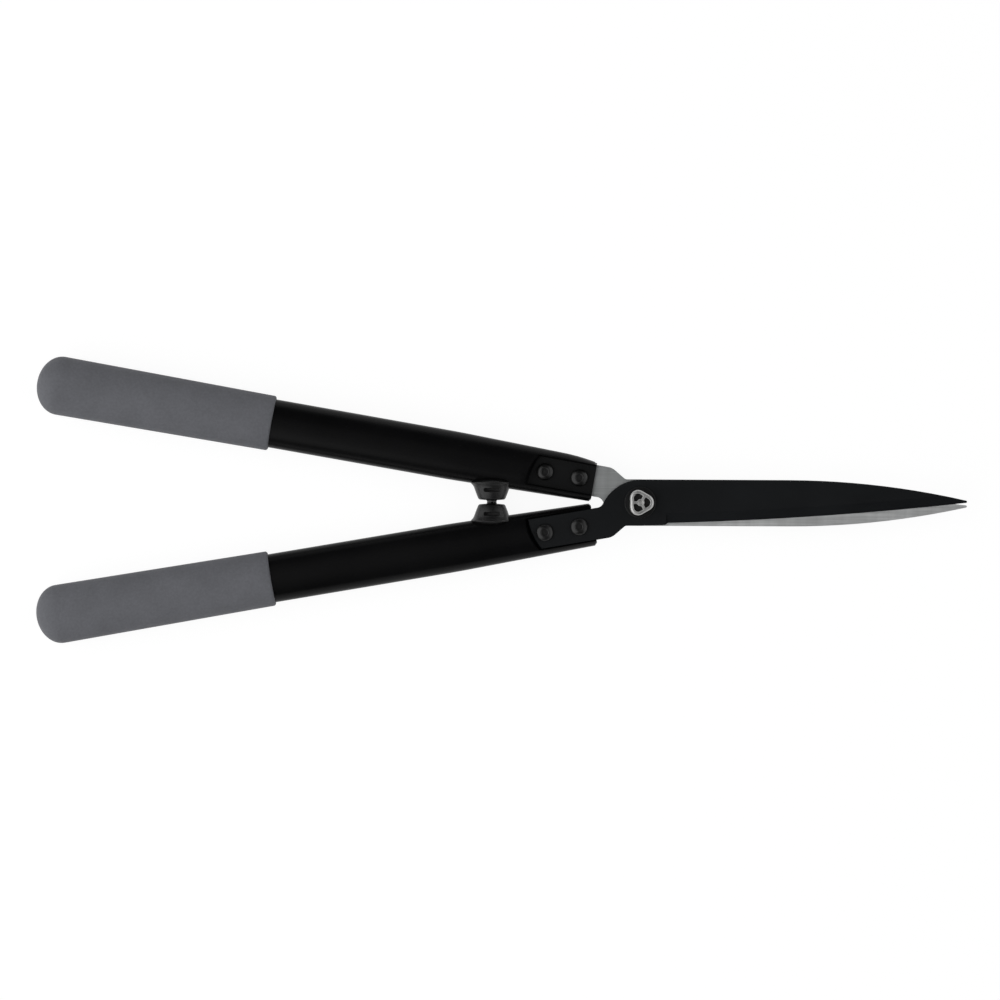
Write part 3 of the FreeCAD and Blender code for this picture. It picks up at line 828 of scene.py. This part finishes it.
def grip_profile():
    """From the bore's end, out past its tight lip, round the rim, along the swelling sleeve and
    over the rounded end."""
    profile = [
        (grip_bore_end, 0),
        (grip_bore_end, grip_bore_radius),
        (grip_front + grip_lip_length, grip_bore_radius),
        (grip_front + grip_lip_length, grip_lip_radius),
        (grip_front, grip_lip_radius),
    ]
    for step in range(grip_rim_steps + 1):
        angle = math.pi / 2 * step / grip_rim_steps
        along = grip_front + grip_rim * (1 - math.cos(angle))
        profile.append((along, grip_front_radius - grip_rim * (1 - math.sin(angle))))
    cap = grip_end - grip_cap_depth
    swelling = grip_rear_radius - grip_front_radius
    for step in range(1, grip_sleeve_steps):
        along = grip_front + grip_rim + (cap - grip_front - grip_rim) * step / grip_sleeve_steps
        profile.append((along, grip_front_radius + swelling * step / grip_sleeve_steps))
    for step in range(grip_cap_steps + 1):
        angle = math.pi / 2 * step / grip_cap_steps
        along = cap + grip_cap_depth * math.sin(angle)
        profile.append((along, grip_rear_radius * math.cos(angle)))
    return profile


def grip_shape():
    """The sleeve in the handle's own place."""
    shape = turned(grip_profile(), grip_sides)
    bmesh.ops.scale(shape, vec=(1, 1, grip_height_share), verts=shape.verts)
    return shape


def grip_material():
    """Grey foamed rubber: fine pores, a matt skin and slightly uneven colour."""
    material, tree, shader = new_material("grey grip foam")
    pores = noise(tree, waves=(1900, 1900, 1900), relief=0.05 * mm)
    specks = noise(tree, waves=(650, 650, 650))
    cloud = noise(tree, waves=(70, 70, 70))
    colour = shaded(tree, grip_colour, spread(tree, cloud["Tone"], low=0.93, high=1.06))
    colour = shaded(tree, colour, spread(tree, specks["Tone"], low=0.93, high=1.07))
    dress(
        shader,
        Base_Color=colour,
        Roughness=spread(tree, pores["Tone"], low=0.7, high=0.82),
        Specular_IOR_Level=0.35,
        Sheen_Weight=0.12,
        Sheen_Roughness=0.5,
        Normal=pores["Normal"],
    )
    return material


grip_finish = grip_material()
for side, turn in sides.items():
    grip = show(
        f"{side}_foam_grip",
        grip_shape(),
        turn @ right_handle,
        grip_finish,
        f"{side}_half",
        "grey_grip",
        f"{side}_grip",
    )


# The pivot bolt is turned steel, plated. Its flat round head lies under the lower blade, and its
# square neck keeps it from turning there.

show(
    "plated_pivot_bolt",
    softened("pivot_bolt", zinc_edge_rounding),
    Matrix.Identity(4),
    zinc_finish,
    "left_half",
    "pivot_bolt_steel",
    "pivot_bolt",
)


# A broad black washer spreads the pivot's pressure over the top blade, and a conical spring
# washer on it keeps the blades together.

washer_colour = (0.005, 0.0052, 0.0055, 1)
spring_colour = (0.2, 0.19, 0.17, 1)
washer_edge_rounding = 0.2 * mm


def washer_material():
    """Blackened steel washer."""
    material, tree, shader = new_material("black washer steel")
    turning = noise(tree, waves=(900, 900, 900), relief=0.004 * mm)
    dress(
        shader,
        Base_Color=shaded(tree, washer_colour, spread(tree, turning["Tone"], low=0.85, high=1.15)),
        Roughness=spread(tree, turning["Tone"], low=0.3, high=0.38),
        Specular_IOR_Level=0.25,
        Normal=turning["Normal"],
    )
    return material


def spring_material():
    """Hardened spring steel with a dull brownish temper."""
    material, tree, shader = new_material("spring steel")
    cloud = noise(tree, waves=(400, 400, 400), relief=0.002 * mm)
    dress(
        shader,
        Base_Color=shaded(tree, spring_colour, spread(tree, cloud["Tone"], low=0.85, high=1.15)),
        Metallic=1.0,
        Roughness=spread(tree, cloud["Tone"], low=0.35, high=0.45),
        Normal=cloud["Normal"],
    )
    return material


show(
    "black_pivot_washer",
    softened("pivot_washer", washer_edge_rounding),
    Matrix.Identity(4),
    washer_material(),
    "left_half",
    "black_washer_steel",
    "pivot_washer",
)
nodes["pivot_spring_washer"].material_slots[0].material = spring_material()


# The tension nut is a small bright casting that is turned by hand: a rounded triangle with three
# pockets between its spokes.

nut_colour = (0.51, 0.51, 0.505, 1)
# A dark colour painted in the depths of the pockets as shade.
nut_painted_shade_colour = (0.03, 0.03, 0.03, 1)
nut_top = 23.1 * mm
nut_floor = 20.7 * mm
nut_bright_depth = 1.0 * mm
nut_rim_width = 1.5 * mm
nut_inradius = 6.6 * mm
nut_corner_radius = 5.0 * mm
nut_ridge_width = 2.0 * mm
nut_ridge_height = 1.5 * mm
nut_dimple_reach = 1.6 * mm
nut_ridge_rounding = 0.8 * mm
nut_edge_rounding = 0.25 * mm
nut_corner_angle = 50
nut_shaded_pocket_roughness = 0.6
nut_corner_centres = [
    Vector((math.cos(math.radians(angle)), math.sin(math.radians(angle)), 0))
    * 2 * (nut_inradius - nut_corner_radius)
    for angle in (0, 120, 240)
]


def nut_inset(place):
    """How far inside the nut's outline a place lies."""
    flat = Vector((place.x, place.y, 0))
    nearest = geometry.closest_point_on_tri(flat, *nut_corner_centres)
    return nut_corner_radius - (flat - nearest).length


def nut_shape():
    """The nut with round ridges, the depths of its pockets marked for painted shade."""
    shape = merged("pivot_nut")
    ridges = [
        edge for edge in sharp_edges(shape, corner_angle)
        if all(
            vert.co.z > nut_top - nut_edge_rounding and vert.co.xy.length > nut_dimple_reach
            for vert in edge.verts
        )
    ]
    round_off(shape, ridges, nut_ridge_rounding, segments=5)
    round_off(shape, sharp_edges(shape, nut_corner_angle), nut_edge_rounding, segments=3)
    skin = shape.verts.layers.float.new("painted_pocket_shade")
    for vert in shape.verts:
        inset = nut_inset(vert.co)
        if inset < nut_ridge_width and vert.co.z > nut_top - nut_ridge_height:
            out = 1 - max(0, inset) / nut_ridge_width
            vert.co.z = nut_top - nut_ridge_height * (1 - math.sqrt(1 - out**2))
        # Below the bright top, the pockets' depths are marked for painted shade.
        deep = nut_floor - nut_edge_rounding < vert.co.z < nut_top - nut_bright_depth
        vert[skin] = 1.0 if deep and inset > nut_rim_width else 0.0
    return shape


def nut_material():
    """Bright cast metal, tumbled smooth, with painted shade darkening the depths of its pockets.
    """
    material, tree, shader = new_material("bright cast metal")
    cast = noise(tree, waves=(700, 700, 700), relief=0.02 * mm)
    skin = add(tree, "ShaderNodeAttribute", attribute_name="painted_pocket_shade").outputs["Fac"]
    bright = shaded(tree, nut_colour, spread(tree, cast["Tone"], low=0.85, high=1.08))
    bright_roughness = spread(tree, cast["Tone"], low=0.38, high=0.46)
    roughness = add(
        tree, "ShaderNodeMix", {0: skin, 2: bright_roughness, 3: nut_shaded_pocket_roughness}
    ).outputs[0]
    dress(
        shader,
        # Painted shade: the pockets' depths take a dark colour.
        Base_Color=blended(tree, skin, bright, nut_painted_shade_colour),
        Metallic=1.0,
        Roughness=roughness,
        Normal=cast["Normal"],
    )
    return material


show(
    "cast_tension_nut",
    nut_shape(),
    Matrix.Identity(4),
    nut_material(),
    "tension_nut",
    "cast_nut_metal",
    "pivot_nut",
)


# The shears lie on a plain white floor inside a low white wall. Both show the camera, and gloss,
# plain white, and the floor keeps a soft shadow.

floor_level = cad_low.z - 0.2 * mm
floor_radius = 6.0
wall_height = 1.6
stage_sides = 96
stage_white = (0.85, 0.85, 0.85, 1)


def stage_material(name, own_light, own_share):
    """Pale matt surface that shows the camera its own light mixed with the light it gets."""
    material, tree, shader = new_material(name)
    tree.nodes.remove(shader)
    matt = add(tree, "ShaderNodeBsdfDiffuse", {"Color": stage_white}).outputs[0]
    glow = add(tree, "ShaderNodeEmission", {"Strength": own_light}).outputs[0]
    seen = add(tree, "ShaderNodeMixShader", {0: own_share, 1: matt, 2: glow}).outputs[0]
    path = add(tree, "ShaderNodeLightPath").outputs
    looked = path["Is Camera Ray"]
    for other in ("Is Glossy Ray", "Is Transmission Ray"):
        looked = add(
            tree, "ShaderNodeMath", {0: looked, 1: path[other]}, operation="MAXIMUM"
        ).outputs[0]
    shown = add(tree, "ShaderNodeMixShader", {0: looked, 1: matt, 2: seen}).outputs[0]
    clear = add(tree, "ShaderNodeBsdfTransparent").outputs[0]
    behind = add(tree, "ShaderNodeNewGeometry").outputs["Backfacing"]
    final = add(tree, "ShaderNodeMixShader", {0: behind, 1: shown, 2: clear}).outputs[0]
    tree.links.new(final, tree.nodes["Material Output"].inputs["Surface"])
    return material


def stage_piece(name, shape, material):
    """The floor or the wall, which isn't part of the shears."""
    mesh = bpy.data.meshes.new(name)
    shape.to_mesh(mesh)
    mesh.materials.append(material)
    piece = bpy.data.objects.new(name, mesh)
    bpy.context.scene.collection.objects.link(piece)
    piece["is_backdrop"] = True


ground = bmesh.new()
bmesh.ops.create_circle(ground, cap_ends=True, segments=stage_sides, radius=floor_radius)
bmesh.ops.translate(ground, vec=(0, 0, floor_level), verts=ground.verts)
stage_piece("floor", ground, stage_material("white floor", own_light=1.1, own_share=0.84))

wall = bmesh.new()
bmesh.ops.create_circle(wall, segments=stage_sides, radius=floor_radius)
risen = bmesh.ops.extrude_edge_only(wall, edges=wall.edges)["geom"]
bmesh.ops.translate(
    wall,
    vec=(0, 0, wall_height),
    verts=[item for item in risen if isinstance(item, bmesh.types.BMVert)],
)
bmesh.ops.translate(wall, vec=(0, 0, floor_level), verts=wall.verts)
bmesh.ops.recalc_face_normals(wall, faces=wall.faces)
# The wall faces the shears.
panel = wall.faces[:][0]
if panel.normal.dot(panel.calc_center_median()) > 0:
    bmesh.ops.reverse_faces(wall, faces=wall.faces)
stage_piece("backdrop", wall, stage_material("white backdrop", own_light=1.0, own_share=1.0))


# Soft studio light: a large panel from the left, a weaker one from the right and a faint one
# overhead, none of them much brighter than white, and a little light from all round.

world_strength = 0.06
lamp_target = Vector((-0.09, 0, 0))

world = bpy.data.worlds.new("dim studio")
world.use_nodes = True
background = world.node_tree.nodes["Background"]
background.inputs["Color"].default_value = (1, 1, 1, 1)
background.inputs["Strength"].default_value = world_strength
bpy.context.scene.world = world


def soft_box(name, azimuth, elevation, distance, width, height, radiance):
    """A lit panel that faces the middle of the shears, with its angles in degrees."""
    light = bpy.data.lights.new(name, "AREA")
    light.shape = "RECTANGLE"
    light.size = width
    light.size_y = height
    light.energy = radiance * math.pi * width * height
    lamp = bpy.data.objects.new(name, light)
    turn, rise = math.radians(azimuth), math.radians(elevation)
    out = Vector(
        (math.cos(turn) * math.cos(rise), math.sin(turn) * math.cos(rise), math.sin(rise))
    )
    lamp.location = lamp_target + out * distance
    lamp.rotation_mode = "QUATERNION"
    lamp.rotation_quaternion = out.to_track_quat("Z", "Y")
    lamp.visible_camera = False
    bpy.context.scene.collection.objects.link(lamp)


soft_box(
    "left_box", azimuth=190, elevation=42, distance=1.7, width=3.3, height=2.3, radiance=1.25
)
soft_box(
    "overhead_box", azimuth=90, elevation=90, distance=2.1, width=1.8, height=1.6, radiance=0.16
)
soft_box(
    "right_box", azimuth=5, elevation=35, distance=2.0, width=3.0, height=2.0, radiance=0.8
)


# The camera looks straight down from afar, and stands a touch askew to the blades' line, as the
# photograph does.

camera_lens = 150
camera_sensor = 36
camera_turn = math.radians(0.27)
camera_sight = 50
view_width = 0.620
view_centre_x = -86.8 * mm
view_centre_y = 1.2 * mm
camera_height = view_width * camera_lens / camera_sensor

camera_data = bpy.data.cameras.new("camera")
camera_data.lens = camera_lens
camera_data.sensor_width = camera_sensor
camera_data.clip_end = camera_sight
camera = bpy.data.objects.new("camera", camera_data)
camera.location = (view_centre_x, view_centre_y, shear_plane + camera_height)
camera.rotation_euler = (0, 0, camera_turn)
bpy.context.scene.collection.objects.link(camera)
bpy.context.scene.camera = camera
bpy.context.scene.view_settings.view_transform = "Standard"

low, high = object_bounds()
